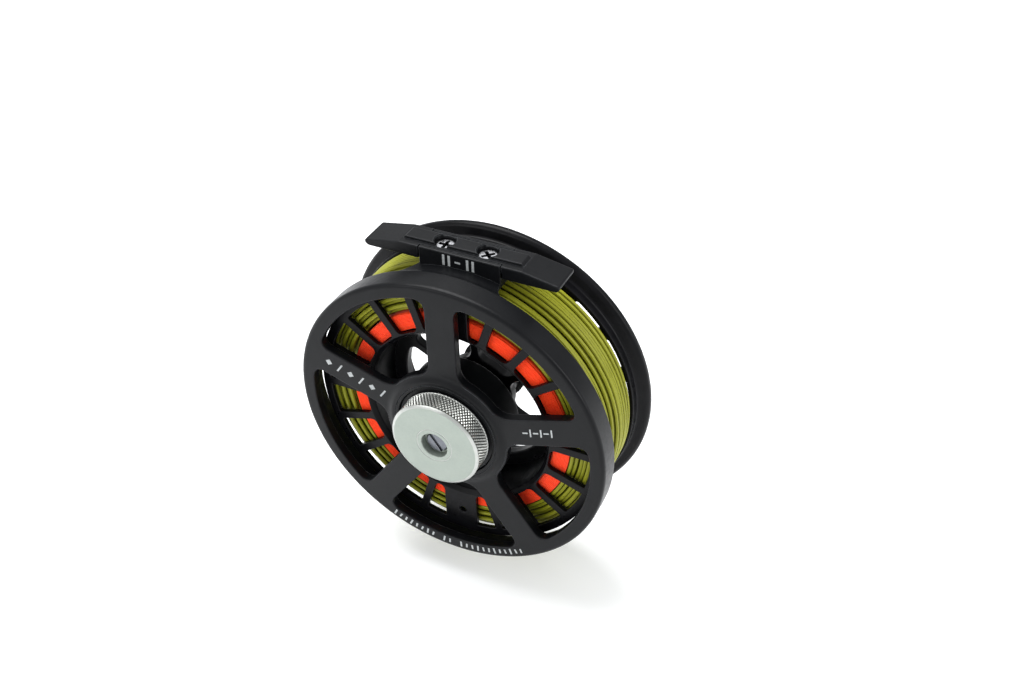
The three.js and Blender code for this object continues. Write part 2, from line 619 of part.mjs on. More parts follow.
add('click_gear', clickGear(), bronze);
add('click_pawl', clickPawl(), steel);
const pawlPin = rod(PAWL_PIN_R, 12.9, 17.0, SMALL);
add('pawl_pin', pawlPin.translate(PAWL_PIVOT[0], 0, PAWL_PIVOT[1]), steel);
add('pawl_spring', pawlSpring(), steel);
const screwProfile = [[0, 14.3], [0.7, 14.3], [0.7, 16.7], [1.5, 16.7], [1.5, 17.5], [0, 17.5]];
const springScrew = turned(screwProfile, SMALL);
add('pawl_spring_screw', springScrew.translate(SPRING_ANCHOR[0], 0, SPRING_ANCHOR[1]), darkSteel);

add('spool', spoolSolid(), anodised);
add('drive_hub', driveHub(), darkSteel);
bearing('front_bearing', BEARING_FRONT, add);
add('bearing_spacer', ring(BEARING.outerRace, BEARING.outer, 24.5, 28.5, SMALL), darkSteel);
bearing('rear_bearing', BEARING_REAR, add);
add('backing_winding', ring(ARBOR_R + GAP, BACKING_R, ...WOUND, FINE), backingOrange);
add('fly_line_winding', flyLine(), lineOlive);

add('hub_cap', hubCap(), anodised);
add('release_latch', releaseLatch(), silver);
add('latch_spring', latchSpring(), steel);

add('handle_knob', handleKnob(), resin);
const atHandle = (geometry) => moved(geometry, HANDLE_RADIUS, HANDLE_ANGLE);
const opposite = (geometry) => moved(geometry, HANDLE_RADIUS, HANDLE_ANGLE + 180);
add('handle_post', atHandle(geometryOf(handlePost())), steel);
add('handle_washer', atHandle(ring(2.9, 5.2, 33.9, 34.7, SMALL)), bronze);
add('counterweight', opposite(ring(STUD_R + GAP, 6.4, 33.9, 36.0, MEDIUM)), steel);
add('counterweight_screw', opposite(geometryOf(counterweightScrew())), steel);

export default reel;
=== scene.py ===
"""Looks of the large-arbor fly reel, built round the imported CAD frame."""

import json
import math
import random

import bmesh
import bpy
from mathutils import Matrix, Vector

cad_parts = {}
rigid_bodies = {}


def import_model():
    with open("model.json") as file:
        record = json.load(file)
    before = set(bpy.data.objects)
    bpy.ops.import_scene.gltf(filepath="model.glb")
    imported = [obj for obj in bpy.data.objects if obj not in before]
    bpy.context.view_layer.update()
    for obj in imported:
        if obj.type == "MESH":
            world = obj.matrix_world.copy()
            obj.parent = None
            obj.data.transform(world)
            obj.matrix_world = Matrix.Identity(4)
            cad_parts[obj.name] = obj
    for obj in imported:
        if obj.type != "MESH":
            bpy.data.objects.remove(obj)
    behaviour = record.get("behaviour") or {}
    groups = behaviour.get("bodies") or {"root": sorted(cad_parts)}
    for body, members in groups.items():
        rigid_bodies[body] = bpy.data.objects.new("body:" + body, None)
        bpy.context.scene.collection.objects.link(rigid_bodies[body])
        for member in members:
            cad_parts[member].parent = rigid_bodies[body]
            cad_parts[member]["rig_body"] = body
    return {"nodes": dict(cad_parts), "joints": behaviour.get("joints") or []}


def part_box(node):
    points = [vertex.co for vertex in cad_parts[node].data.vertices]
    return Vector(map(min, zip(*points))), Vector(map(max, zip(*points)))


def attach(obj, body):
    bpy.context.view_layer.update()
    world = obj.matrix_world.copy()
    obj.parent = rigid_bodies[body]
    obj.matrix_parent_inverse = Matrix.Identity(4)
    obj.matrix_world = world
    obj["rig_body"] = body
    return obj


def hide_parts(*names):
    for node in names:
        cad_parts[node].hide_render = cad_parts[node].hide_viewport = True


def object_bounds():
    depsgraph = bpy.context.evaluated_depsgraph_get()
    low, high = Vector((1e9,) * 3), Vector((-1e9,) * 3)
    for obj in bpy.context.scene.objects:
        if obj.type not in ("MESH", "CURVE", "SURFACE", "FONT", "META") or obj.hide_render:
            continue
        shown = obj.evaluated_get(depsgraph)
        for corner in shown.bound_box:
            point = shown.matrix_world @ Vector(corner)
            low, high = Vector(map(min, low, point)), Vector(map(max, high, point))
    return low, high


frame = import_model()
cad_low, cad_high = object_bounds()

# ---------------------------------------------------------------- where things are
# Shapes are drawn in millimetres round the spool axis: x along the rod, y back from the
# ring's front face, z up to the foot. TO_ROW carries them into the row frame.
MM = 0.001
COLLAR_RISE = 0.9                 # how far the collar round the knob stands proud of the ring
joints = {joint["name"]: joint for joint in frame["joints"]}
AXIS = Vector(joints["spool_spin"]["pos_m"]) / MM
FACE_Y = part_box("frame")[0].y / MM + COLLAR_RISE
TO_ROW = Matrix.Diagonal((MM, MM, MM, 1)) @ Matrix.Translation((AXIS.x, FACE_Y, AXIS.z))

LARGE = 240                       # sides of a round piece, by size
MIDDLE = 144
SMALL = 64
CORNER_STEPS = 16                 # steps round a window's corner
EASE = 0.12                       # usual broken edge of a small piece

RING_R = 52.5
RING_DEPTH = 8.3
RING_BORE = 50.2
FACE_T = 3.2
WINDOW_R = 47.8
ARMS = 5
ARM_HALF = 4.8
ARM_CORNER = 4.2
HOUSING_R = (16.2, 18.4)          # inside and outside of the drag housing
HOUSING_END = 14.0
BRIDGE_R = (50.1, 51.3)
BRIDGE_END = 17.5
FLARES = ((-1, 13.2, 9.2), (1, 4.6, 5.4))   # side, width and depth of the bridge's curves
PIN_CIRCLE = 9.3                  # radius at which the push pins stand
PINS = 3
POST_HALF = 13.3
POST_Y = (13.7, 24.3)
POST_MID = (POST_Y[0] + POST_Y[1]) / 2
LIP = 1.2                         # wall left on each side of the foot's bed
FOOT_BED = 52.9
FOOT_HALF = 31.75
FOOT_TAPER_X = 20
FOOT_TOP = 55.8
RIB_TOP = 56.6
SCREW_X = 7.0
KNOB_R = 14.9
KNOB_FRONT = -7.7
KNOB_SEAT = -5.0
NEAR_Y = (6.2, 7.8)               # near flange, on the drag's side
NEAR_R = 48.6
NEAR_OPENINGS_R = 45.6            # how far out the near flange's openings reach
FAR_Y = (30.2, 31.8)              # far flange, on the handle's side
FAR_OPENINGS_R = 48.6
ARBOR_R = 32.0
ARBOR_BORE = 30.6
WEB_Y = (21.8, 25.0)
WEB_ARMS = 6
HUB_TUBE_R = 9.6
DRIVE_HEX = 12.6                  # across the flats of the drive hub
TIE_AT = (39.9, -89)              # radius and angle of the line-tie hole
SPOKES = 20
SPOKE_START = 54
WIDE_SPOKES = (-90, 90)
WIDE_HALF = 5.8
HANDLE_ANGLE = 243
HANDLE_RADIUS = 41.5
WOUND = (8.1, 29.9)               # where backing and line lie along the axis

scene = bpy.context.scene
scene.view_settings.view_transform = "Standard"


def polar(radius, degrees):
    """(x, z) of a point round the spool axis."""
    angle = math.radians(degrees)
    return radius * math.cos(angle), radius * math.sin(angle)


def pin_at(index):
    """Where one of the drag's push pins stands."""
    return polar(PIN_CIRCLE, 90 + 360 / PINS * index)


HANDLE_AT = polar(HANDLE_RADIUS, HANDLE_ANGLE)
WEIGHT_AT = polar(HANDLE_RADIUS, HANDLE_ANGLE - 180)


# ---------------------------------------------------------------- finishes
def linear(red, green, blue):
    """sRGB 0-255 to linear."""
    def one(value):
        value /= 255
        return value / 12.92 if value <= 0.04045 else ((value + 0.055) / 1.055) ** 2.4
    return one(red), one(green), one(blue), 1.0


class Finish:
    """A node material: base colour with mottle and edge wear, uneven gloss, and fine relief."""

    def __init__(self, name, colour, roughness, metallic=0.0, specular=0.5):
        self.material = bpy.data.materials.new(name)
        self.material.use_nodes = True
        self.tree = self.material.node_tree
        self.shader = self.tree.nodes["Principled BSDF"]
        self.shader.inputs["Metallic"].default_value = metallic
        self.shader.inputs["Specular IOR Level"].default_value = specular
        self.colour = self.value(colour)
        self.roughness = roughness
        self.heights = []
        self.place = self.node("ShaderNodeTexCoord").outputs["Object"]
        self.gloss = None

    def node(self, kind, **settings):
        made = self.tree.nodes.new(kind)
        for key, value in settings.items():
            setattr(made, key, value)
        return made

    def link(self, source, target):
        self.tree.links.new(source, target)

    def value(self, colour):
        made = self.node("ShaderNodeRGB")
        made.outputs[0].default_value = colour
        return made.outputs[0]

    def noise(self, size_mm, detail=3.0, stretch=(1, 1, 1)):
        """Noise whose features are about size_mm across."""
        mapping = self.node("ShaderNodeMapping")
        mapping.inputs["Scale"].default_value = stretch
        self.link(self.place, mapping.inputs["Vector"])
        made = self.node("ShaderNodeTexNoise")
        made.inputs["Scale"].default_value = 1 / (size_mm * MM)
        made.inputs["Detail"].default_value = detail
        self.link(mapping.outputs[0], made.inputs["Vector"])
        return made.outputs["Fac"]

    def ramp(self, source, low, high, to_low=0.0, to_high=1.0):
        made = self.node("ShaderNodeMapRange")
        made.inputs["From Min"].default_value = low
        made.inputs["From Max"].default_value = high
        made.inputs["To Min"].default_value = to_low
        made.inputs["To Max"].default_value = to_high
        self.link(source, made.inputs["Value"])
        return made.outputs["Result"]

    def blend(self, factor, colour):
        made = self.node("ShaderNodeMix", data_type="RGBA")
        self.link(factor, made.inputs["Factor"])
        self.link(self.colour, made.inputs[6])
        made.inputs[7].default_value = colour
        self.colour = made.outputs[2]
        return self

    def mottle(self, size_mm, colour, amount=0.6, stretch=(1, 1, 1)):
        return self.blend(self.ramp(self.noise(size_mm, 4.0, stretch), 0.42, 0.68, 0, amount), colour)

    def wear(self, colour, reach_mm=0.3, amount=0.6):
        """Lighter edges, found by how far a rounded normal leaves the flat one, broken by noise."""
        rounded = self.node("ShaderNodeBevel", samples=4)
        rounded.inputs["Radius"].default_value = reach_mm * MM
        agree = self.node("ShaderNodeVectorMath", operation="DOT_PRODUCT")
        self.link(rounded.outputs["Normal"], agree.inputs[0])
        self.link(self.node("ShaderNodeNewGeometry").outputs["Normal"], agree.inputs[1])
        broken = self.node("ShaderNodeMath", operation="MULTIPLY")
        self.link(self.ramp(agree.outputs["Value"], 0.985, 0.88), broken.inputs[0])
        self.link(self.ramp(self.noise(1.6), 0.3, 0.6, 0.35 * amount, amount), broken.inputs[1])
        return self.blend(broken.outputs[0], colour)

    def shade_hollows(self, colour, start=0.495, full=0.44, amount=0.9):
        """Painted shade: darker in grooves and dips of the surface, found by pointiness."""
        point = self.node("ShaderNodeNewGeometry").outputs["Pointiness"]
        return self.blend(self.ramp(point, start, full, 0, amount), colour)

    def shaded(self, colour, reach_mm, amount):
        """Painted shade: darker where near surfaces close in, as between strands."""
        near = self.node("ShaderNodeAmbientOcclusion", samples=6)
        near.inputs["Distance"].default_value = reach_mm * MM
        return self.blend(self.ramp(near.outputs["AO"], 0.8, 0.35, 0, amount), colour)

    def uneven(self, size_mm, spread):
        """Gloss that changes from place to place."""
        low, high = self.roughness - spread, self.roughness + spread
        self.gloss = self.ramp(self.noise(size_mm, 5.0), 0.3, 0.7, low, high)
        return self

    def relief(self, height, depth_mm, strength=1.0):
        self.heights.append((height, depth_mm * MM, strength))
        return self

    def grain(self, size_mm, depth_mm, stretch=(1, 1, 1)):
        return self.relief(self.noise(size_mm, 2.0, stretch), depth_mm)

    def turned(self, pitch_mm, depth_mm, centre=(0.0, 0.0)):
        """Lathe marks: rings round the y axis through centre."""
        mapping = self.node("ShaderNodeMapping")
        x, z = centre
        mapping.inputs["Location"].default_value = (-x * MM, 0, -(AXIS.z + z) * MM)
        self.link(self.place, mapping.inputs["Vector"])
        wave = self.node("ShaderNodeTexWave", wave_type="RINGS", rings_direction="Y")
        wave.inputs["Scale"].default_value = 0.314 / (pitch_mm * MM) / 2
        wave.inputs["Distortion"].default_value = 1.2
        wave.inputs["Detail"].default_value = 2.0
        self.link(mapping.outputs[0], wave.inputs["Vector"])
        return self.relief(wave.outputs["Fac"], depth_mm)

    def done(self):
        self.link(self.colour, self.shader.inputs["Base Color"])
        if self.gloss is None:
            self.shader.inputs["Roughness"].default_value = self.roughness
        else:
            self.link(self.gloss, self.shader.inputs["Roughness"])
        normal = None
        for height, distance, strength in self.heights:
            bump = self.node("ShaderNodeBump")
            bump.inputs["Distance"].default_value = distance
            bump.inputs["Strength"].default_value = strength
            self.link(height, bump.inputs["Height"])
            if normal is not None:
                self.link(normal, bump.inputs["Normal"])
            normal = bump.outputs["Normal"]
        if normal is not None:
            self.link(normal, self.shader.inputs["Normal"])
        return self.material


def set_input(material, name, value):
    material.node_tree.nodes["Principled BSDF"].inputs[name].default_value = value
    return material


BLACK = (Finish("anodised_black", linear(13, 14, 16), 0.34, 0.0, 0.14)
         .mottle(9, linear(20, 21, 23), 0.5).wear(linear(84, 87, 90))
         .uneven(1.2, 0.05).grain(0.12, 0.003).done())
# A darker copy of the frame's anodised black for the spool: partly the spool's own tone, partly painted
# shade for where it sits behind the frame.
SPOOL_BLACK_WITH_SHADE = (Finish("spool_black_with_shade", linear(9, 9, 11), 0.32, 0.0, 0.11)
               .mottle(7, linear(20, 20, 23), 0.5).wear(linear(76, 78, 84), 0.22)
               .uneven(1.5, 0.05).turned(0.3, 0.0015).grain(0.15, 0.003).done())
SILVER_FACE = (Finish("knob_face", linear(157, 165, 157), 0.5, 0.75)
               .mottle(5, linear(150, 159, 151), 0.4).uneven(0.6, 0.05)
               .turned(0.16, 0.003).grain(0.08, 0.002).done())
# The near-black groove colour of the knurl is painted shade.
SILVER_KNURL = (Finish("knob_knurl", linear(186, 188, 184), 0.34, 0.95)
                .mottle(2, linear(160, 163, 158), 0.4).shade_hollows(linear(34, 34, 33))
                .uneven(0.8, 0.05).grain(0.1, 0.002).done())
STEEL = (Finish("bright_steel", linear(205, 206, 210), 0.22, 1.0)
         .mottle(2, linear(170, 172, 178), 0.5).uneven(0.7, 0.08).grain(0.1, 0.003).done())
# The near-black colour darkens the screws' cross recesses: painted shade.
SCREW_STEEL = (Finish("screw_steel", linear(214, 215, 218), 0.26, 1.0)
               .mottle(2, linear(180, 182, 188), 0.4).shaded(linear(7, 7, 8), 1.6, 0.97)
               .uneven(0.7, 0.08).grain(0.1, 0.003).done())
DARK_STEEL = (Finish("dark_steel", linear(112, 115, 120), 0.34, 1.0)
              .mottle(2.5, linear(84, 86, 92), 0.6).wear(linear(190, 192, 196)).uneven(0.9, 0.08)
              .turned(0.25, 0.003).done())
CARBON = (Finish("carbon_disc", linear(30, 31, 34), 0.5, 0.1)
          .mottle(1.2, linear(52, 54, 58), 0.7, (1, 1, 4)).uneven(0.5, 0.12)
          .grain(0.4, 0.02, (1, 1, 5)).done())
RUBBER = (Finish("seal_rubber", linear(20, 20, 21), 0.72, 0.0, 0.3)
          .mottle(1.5, linear(36, 36, 37), 0.5).uneven(0.8, 0.08).grain(0.15, 0.01).done())
BRONZE = (Finish("bronze", linear(176, 134, 70), 0.32, 1.0)
          .mottle(2, linear(140, 100, 52), 0.6).wear(linear(226, 190, 120)).uneven(0.8, 0.08)
          .turned(0.2, 0.003).done())
RESIN = (Finish("handle_resin", linear(24, 25, 27), 0.4, 0.0, 0.45)
         .mottle(4, linear(40, 41, 44), 0.5).wear(linear(82, 84, 88)).uneven(1.0, 0.08)
         .turned(0.35, 0.004, HANDLE_AT).grain(0.2, 0.006).done())
BACKING = (Finish("backing", linear(255, 66, 14), 0.6, 0.0, 0.15)
           .mottle(1.4, linear(248, 44, 12), 0.5).mottle(0.3, linear(255, 116, 62), 0.3)
           .uneven(0.6, 0.1).grain(0.09, 0.02).done())
set_input(BACKING, "Sheen Weight", 0.15)
# The dark olive in the gaps between strands is painted shade.
LINE = (Finish("fly_line", linear(142, 144, 34), 0.42, 0.0, 0.2)
        .mottle(11, linear(128, 130, 26), 0.7).mottle(0.8, linear(156, 158, 58), 0.3)
        .shaded(linear(52, 50, 6), 1.3, 0.85)
        .uneven(0.8, 0.08).grain(0.12, 0.005).done())
MARK = (Finish("mark_paint", linear(176, 180, 180), 0.55, 0.0, 0.4)
        .mottle(0.6, linear(140, 144, 146), 0.6).uneven(0.4, 0.08).grain(0.08, 0.003).done())


# ---------------------------------------------------------------- mesh helpers
def made(name, points, faces):
    """A closed, outward mesh object."""
    mesh = bpy.data.meshes.new(name)
    mesh.from_pydata(points, [], faces)
    work = bmesh.new()
    work.from_mesh(mesh)
    bmesh.ops.remove_doubles(work, verts=work.verts, dist=1e-4)
    bmesh.ops.recalc_face_normals(work, faces=work.faces)
    work.to_mesh(mesh)
    work.free()
    thing = bpy.data.objects.new(name, mesh)
    scene.collection.objects.link(thing)
    return thing


def eased(points, cut=0.0, steps=4):
    """A closed outline with each corner rounded. A corner may bring its own cut."""
    result = []
    count = len(points)
    for i, point in enumerate(points):
        here = Vector(point[:2])
        before = Vector(points[i - 1][:2]) - here
        after = Vector(points[(i + 1) % count][:2]) - here
        size = point[2] if len(point) > 2 else cut
        if abs(here.x) < 1e-9:
            size = 0.0
        size = min(size, 0.48 * before.length, 0.48 * after.length)
        if size < 1e-6:
            result.append(tuple(here))
            continue
        start = here + before.normalized() * size
        end = here + after.normalized() * size
        for k in range(steps + 1):
            t = k / steps
            result.append(tuple((1 - t) ** 2 * start + 2 * t * (1 - t) * here + t * t * end))
    return result


def lathe(name, profile, sides=MIDDLE, cut=EASE, centre=(0.0, 0.0), relief=None, steps=4):
    """A closed (radius, y) profile turned about the y axis through centre."""
    points = eased(profile, cut, steps)
    count = len(points)
    verts, faces = [], []
    for i in range(sides):
        angle = 2 * math.pi * i / sides
        for r, y in points:
            if relief is not None:
                r += relief(r, y, angle)
            verts.append((centre[0] + r * math.cos(angle), y, centre[1] + r * math.sin(angle)))
    for i in range(sides):
        a, b = i * count, (i + 1) % sides * count
        for j in range(count):
            k = (j + 1) % count
            if points[j][0] < 1e-9 and points[k][0] < 1e-9:
                continue
            faces.append((a + j, a + k, b + k, b + j))
    return made(name, verts, faces)


def ring_of(inner, outer, low, high):
    """Section of a plain ring, for a lathe."""
    return [(inner, low), (outer, low), (outer, high), (inner, high)]


def grown(outline, amount):
    """The outline moved outwards by amount (outline runs anticlockwise)."""
    if abs(amount) < 1e-9:
        return list(outline)
    result = []
    count = len(outline)
    for i in range(count):
        a, b, c = (Vector(outline[i - 1]), Vector(outline[i]), Vector(outline[(i + 1) % count]))
        first, second = (b - a).normalized(), (c - b).normalized()
        normal = Vector((first.y + second.y, -first.x - second.x))
        if normal.length < 1e-9:
            normal = Vector((first.y, -first.x))
        normal.normalize()
        lean = max(0.5, normal.dot(Vector((first.y, -first.x))))
        result.append(tuple(b + normal * (amount / lean)))
    return result


def prism(name, outline, layers, upright=False):
    """An x-z outline carried through layers of (y, growth), or an x-y outline through (z, growth)."""
    area = sum(a[0] * b[1] - b[0] * a[1] for a, b in zip(outline, outline[1:] + outline[:1]))
    if area < 0:
        outline = outline[::-1]
    count = len(outline)
    verts, faces = [], []
    for level, growth in layers:
        for u, v in grown(outline, growth):
            verts.append((u, v, level) if upright else (u, level, v))
    for i in range(len(layers) - 1):
        a, b = i * count, (i + 1) * count
        for j in range(count):
            k = (j + 1) % count
            faces.append((a + j, a + k, b + k, b + j))
    faces.append(tuple(range(count)))
    faces.append(tuple(range(len(verts) - count, len(verts))))
    return made(name, verts, faces)


def bend_steps(size, steps=3):
    """(depth, amount) pairs of a quarter-round edge."""
    angles = [math.pi / 2 * k / steps for k in range(steps + 1)]
    return [(size * (1 - math.cos(a)), size * (1 - math.sin(a))) for a in angles]


def solid_layers(low, high, edge):
    """Layers of a solid between two faces with round edges."""
    steps = bend_steps(edge)
    return ([(low + d, -a) for d, a in steps] + [(high - d, -a) for d, a in reversed(steps)])


def cut_layers(low, high, edge, margin=1.0):
    """Layers of a cutter that leaves round edges where it passes the faces low and high."""
    steps = bend_steps(edge)
    return ([(low - margin, edge)] + [(low + d, a) for d, a in steps]
            + [(high - d, a) for d, a in reversed(steps)] + [(high + margin, edge)])


def block(name, x, y, z, edge=0.0):
    """A box between pairs of x, y and z."""
    outline = [(x[0], z[0]), (x[1], z[0]), (x[1], z[1]), (x[0], z[1])]
    layers = solid_layers(*y, edge) if edge else [(y[0], 0), (y[1], 0)]
    return prism(name, eased(outline, edge) if edge else outline, layers)


def discard(thing):
    """Removes an object and its mesh."""
    mesh = thing.data
    bpy.data.objects.remove(thing)
    bpy.data.meshes.remove(mesh)


def together(things):
    """Several meshes as one object."""
    work = bmesh.new()
    for thing in things:
        work.from_mesh(thing.data)
    work.to_mesh(things[0].data)
    work.free()
    for thing in things[1:]:
        discard(thing)
    return things[0]


def combined(base, tool, operation):
    """The base changed by a boolean with the tool, which is used up."""
    change = base.modifiers.new("combine", "BOOLEAN")
    change.operation = operation
    change.solver = "MANIFOLD"
    change.object = tool
    graph = bpy.context.evaluated_depsgraph_get()
    mesh = bpy.data.meshes.new_from_object(base.evaluated_get(graph))
    old = base.data
    base.modifiers.clear()
    base.data = mesh
    bpy.data.meshes.remove(old)
    discard(tool)
    return base


def less(base, *tools):
    for tool in tools:
        combined(base, tool, "DIFFERENCE")
    return base


def plus(base, *tools):
    for tool in tools:
        combined(base, tool, "UNION")
    return base


def window(r_in, r_out, half_pitch, half, corner_in, corner_out, centre, next_half=None):
    """Outline of an opening between two straight edges beside spokes, closed by two arcs."""
    next_half = half if next_half is None else next_half
    reach = math.radians(half_pitch)

    def at(r, side):
        """Angle of the straight edge on one side, at radius r."""
        if side < 0:
            return math.asin(half / r) - reach
        return reach - math.asin(next_half / r)

    def flat(r, angle):
        return Vector((r * math.cos(angle), r * math.sin(angle)))

    def arc(r, start, end):
        steps = max(2, int(abs(end - start) / math.radians(1.5)))
        return [(r, start + (end - start) * k / steps) for k in range(steps + 1)]

    corners = [
        (r_in, -1, corner_in), (r_out, -1, corner_out), (r_out, 1, corner_out), (r_in, 1, corner_in),
    ]
    path = []
    for index, (r, side, corner) in enumerate(corners):
        along = 1 if r == r_in else -1
        edge = (r + along * corner, at(r + along * corner, side))
        tip = (r, at(r, side))
        inside = (r, at(r, side) - side * corner / r)
        first, last = (edge, inside) if index in (1, 3) else (inside, edge)
        bend = [flat(*point) for point in (first, tip, last)]
        for k in range(CORNER_STEPS + 1):
            t = k / CORNER_STEPS
            path.append((1 - t) ** 2 * bend[0] + 2 * t * (1 - t) * bend[1] + t * t * bend[2])
        if index in (1, 3):
            other = at(r, -side) + side * corner / r
            path.extend(flat(*point) for point in arc(r, inside[1], other)[1:-1])
    turn = Matrix.Rotation(math.radians(centre), 2)
    return [tuple(turn @ point) for point in path]


def place(thing, body, material, slot, *nodes, crease=38):
    """Puts a finished piece on its body, in place of its CAD nodes."""
    thing.data.transform(TO_ROW)
    thing.data.shade_smooth()
    thing.data.set_sharp_from_angle(angle=math.radians(crease))
    if material is not None:
        thing.data.materials.clear()
        thing.data.materials.append(material)
    weighted = thing.modifiers.new("normals", "WEIGHTED_NORMAL")
    weighted.keep_sharp = True
    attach(thing, body)
    if nodes:
        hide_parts(*nodes)
    return thing


def slot_cut(centre, y, half, reach, degrees=0.0):
    """A straight screwdriver slot."""
    outline = [(-reach, -half), (reach, -half), (reach, half), (-reach, half)]
    turn = Matrix.Rotation(math.radians(degrees), 2)
    outline = [tuple(turn @ Vector(p) + Vector(centre)) for p in outline]
    return prism("slot", outline, [(y[0], 0), (y[1], 0)])


# ---------------------------------------------------------------- frame
def build_frame():
    ring = [
        (3.5, 0, 0.2), (12.9, 0, 0.1), (12.9, 1.3, 0.1), (14.5, 1.3, 0.1), (14.5, 0, 0.1), (16.0, 0, 0.1),
        (16.4, -COLLAR_RISE, 0.25), (17.25, -COLLAR_RISE, 0.05), (17.4, -0.72, 0.05),
        (17.55, -COLLAR_RISE, 0.05), (18.6, -COLLAR_RISE, 0.6), (20.4, 0, 1.2),
        (RING_R, 0, 1.5), (RING_R, RING_DEPTH, 0.5),
        (RING_BORE, RING_DEPTH, 0.4), (RING_BORE, FACE_T, 0.6), (HOUSING_R[1], FACE_T, 0.8),
        (HOUSING_R[1], HOUSING_END, 0.4), (HOUSING_R[0], HOUSING_END, 0.2), (HOUSING_R[0], FACE_T, 0.3),
        (3.5, FACE_T, 0.2),
    ]
    body = lathe("frame", ring, LARGE, steps=10)
    cutters = []
    for i in range(ARMS):
        centre = 90 + 360 / ARMS * (i + 0.5)
        outline = window(21.0, WINDOW_R, 180 / ARMS, ARM_HALF, ARM_CORNER, ARM_CORNER, centre)
        cutters.append(prism("window", outline, cut_layers(0, FACE_T, 0.45, 3.0)))
    less(body, together(cutters))
    pins = [lathe("pin_hole", [(0, -2), (1.3, -2), (1.3, 8), (0, 8)], 32, 0, pin_at(i)) for i in range(PINS)]
    less(body, together(pins))

    # The bridge flares into the ring, more on the left, and carries the post.
    bridge = lathe("bridge", [
        (BRIDGE_R[0], 7.1, 0), (RING_R - 0.12, 7.1, 0), (RING_R - 0.12, RING_DEPTH, 0.3), (51.5, 9.1, 0.8),
        (BRIDGE_R[1], 10.4, 0.8), (BRIDGE_R[1], BRIDGE_END, 0.3), (BRIDGE_R[0], BRIDGE_END, 0.3),
    ], LARGE, steps=10)
    plan = []
    for side, width, depth in FLARES:
        half = [(side * (POST_HALF + width), 7.0)]
        for k in range(17):
            a = math.pi / 2 * k / 16
            x = POST_HALF + width * (1 - math.sin(a))
            half.append((side * x, RING_DEPTH + depth * (1 - math.cos(a))))
        half.append((side * POST_HALF, 20.0))
        plan += half if side < 0 else half[::-1]
    combined(bridge, prism("sector", plan, [(20, 0), (60, 0)], upright=True), "INTERSECT")
    plus(body, bridge)

    side = [(-POST_HALF, 44), (POST_HALF, 44), (POST_HALF, FOOT_TOP, 0.3), (-POST_HALF, FOOT_TOP, 0.3)]
    post = prism("post", eased(side), solid_layers(*POST_Y, 0.4))
    less(post, lathe("clearance", [(0, 0), (BRIDGE_R[0], 0), (BRIDGE_R[0], 40), (0, 40)], LARGE, 0))
    less(post, block("bed", (-20, 20), (POST_Y[0] + LIP, POST_Y[1] - LIP), (FOOT_BED, 60)))
    for x in (-SCREW_X, SCREW_X):
        less(post, stood([(0, 44), (1.5, 44), (1.5, 60), (0, 60)], x, 0))
    plus(body, post)
    place(body, "frame_assembly", BLACK, "anodised_black", "frame", crease=12)


def stood(profile, x, cut, sides=SMALL):
    """A (radius, z) profile turned about a vertical axis through the foot's middle line."""
    thing = lathe("stood", profile, sides, cut)
    y_and_z_swapped = Matrix(((1, 0, 0, x), (0, 0, 1, POST_MID), (0, 1, 0, 0), (0, 0, 0, 1)))
    thing.data.transform(y_and_z_swapped)
    thing.data.flip_normals()
    return thing


def build_foot():
    half = FOOT_HALF
    reach = POST_HALF + 0.3
    side = [
        (-half, 52.4, 0.5), (-half + 1, 51.6, 0.4), (-reach, 51.6, 0.1), (-reach, 53.2), (reach, 53.2),
        (reach, 51.6, 0.1), (half - 1, 51.6, 0.4), (half, 52.4, 0.5), (half, 53.6, 0.6),
        (FOOT_TAPER_X, FOOT_TOP, 0), (-FOOT_TAPER_X, FOOT_TOP, 0), (-half, 53.6, 0.6),
    ]
    foot = prism("reel_foot", eased(side, steps=12), solid_layers(*POST_Y, 0.35))
    for y in ((POST_Y[0] - 1, POST_Y[0] + 1.5), (POST_Y[1] - 1.5, POST_Y[1] + 1)):
        less(foot, block("lip", (-reach, reach), y, (51.0, 60)))
    rib = prism("rib", eased([(-20, 55.3), (20, 55.3), (19, RIB_TOP, 0.5), (-19, RIB_TOP, 0.5)]),
                solid_layers(POST_MID - 2.7, POST_MID + 2.7, 0.3))
    plus(foot, rib)
    for x in (-SCREW_X, SCREW_X):
        less(foot, stood([(0, 50), (1.8, 50), (1.8, 53.1), (3.3, 54.6), (3.3, 56.3), (3.6, 56.6), (3.6, 60),
                          (0, 60)], x, 0))
    place(foot, "frame_assembly", BLACK, "anodised_black", "reel_foot", crease=9)

    for side_name, x, degrees in (("left", -SCREW_X, 0), ("right", SCREW_X, 45)):
        turn = Matrix.Rotation(math.radians(degrees), 2)
        screw = stood([(0, 50.6), (1.2, 50.6), (1.2, 53.0), (3.0, 54.7, 0.1), (2.7, 54.9, 0.15), (0, 54.9)],
                      x, 0.05)
        for w, l in ((0.65, 2.2), (2.2, 0.65)):
            corners = [(-w, -l), (w, -l), (w, l), (-w, l)]
            taper = [tuple(turn @ Vector(p) + Vector((x, POST_MID))) for p in corners]
            less(screw, prism("cross", taper, [(53.4, -0.3), (56, 0.1)], upright=True))
        place(screw, "frame_assembly", SCREW_STEEL, "bright_steel", "foot_screw_" + side_name)


# ---------------------------------------------------------------- drag knob
KNURL = 82
KNURL_RISE = 1.5
KNURL_DEPTH = 0.4
KNURL_Y = (-6.8, -1.0)
KNURL_FADE = 0.3                  # how far the knurl runs out at each end


def knurl(r, y, angle):
    """Diamond knurl on the knob's wall."""
    low, high = KNURL_Y[0] - KNURL_FADE, KNURL_Y[1] + KNURL_FADE
    if r < KNOB_R - 1e-6 or not low < y < high:
        return 0.0
    turns = KNURL * angle / (2 * math.pi)
    climb = y / KNURL_RISE
    heights = [1 - abs(2 * ((turns + way * climb) % 1.0) - 1) for way in (1, -1)]
    fade = min(1.0, max(0.0, (y - low) / KNURL_FADE), max(0.0, (high - y) / KNURL_FADE))
    return -KNURL_DEPTH * fade * (1 - min(1.0, 1.15 * min(heights)))


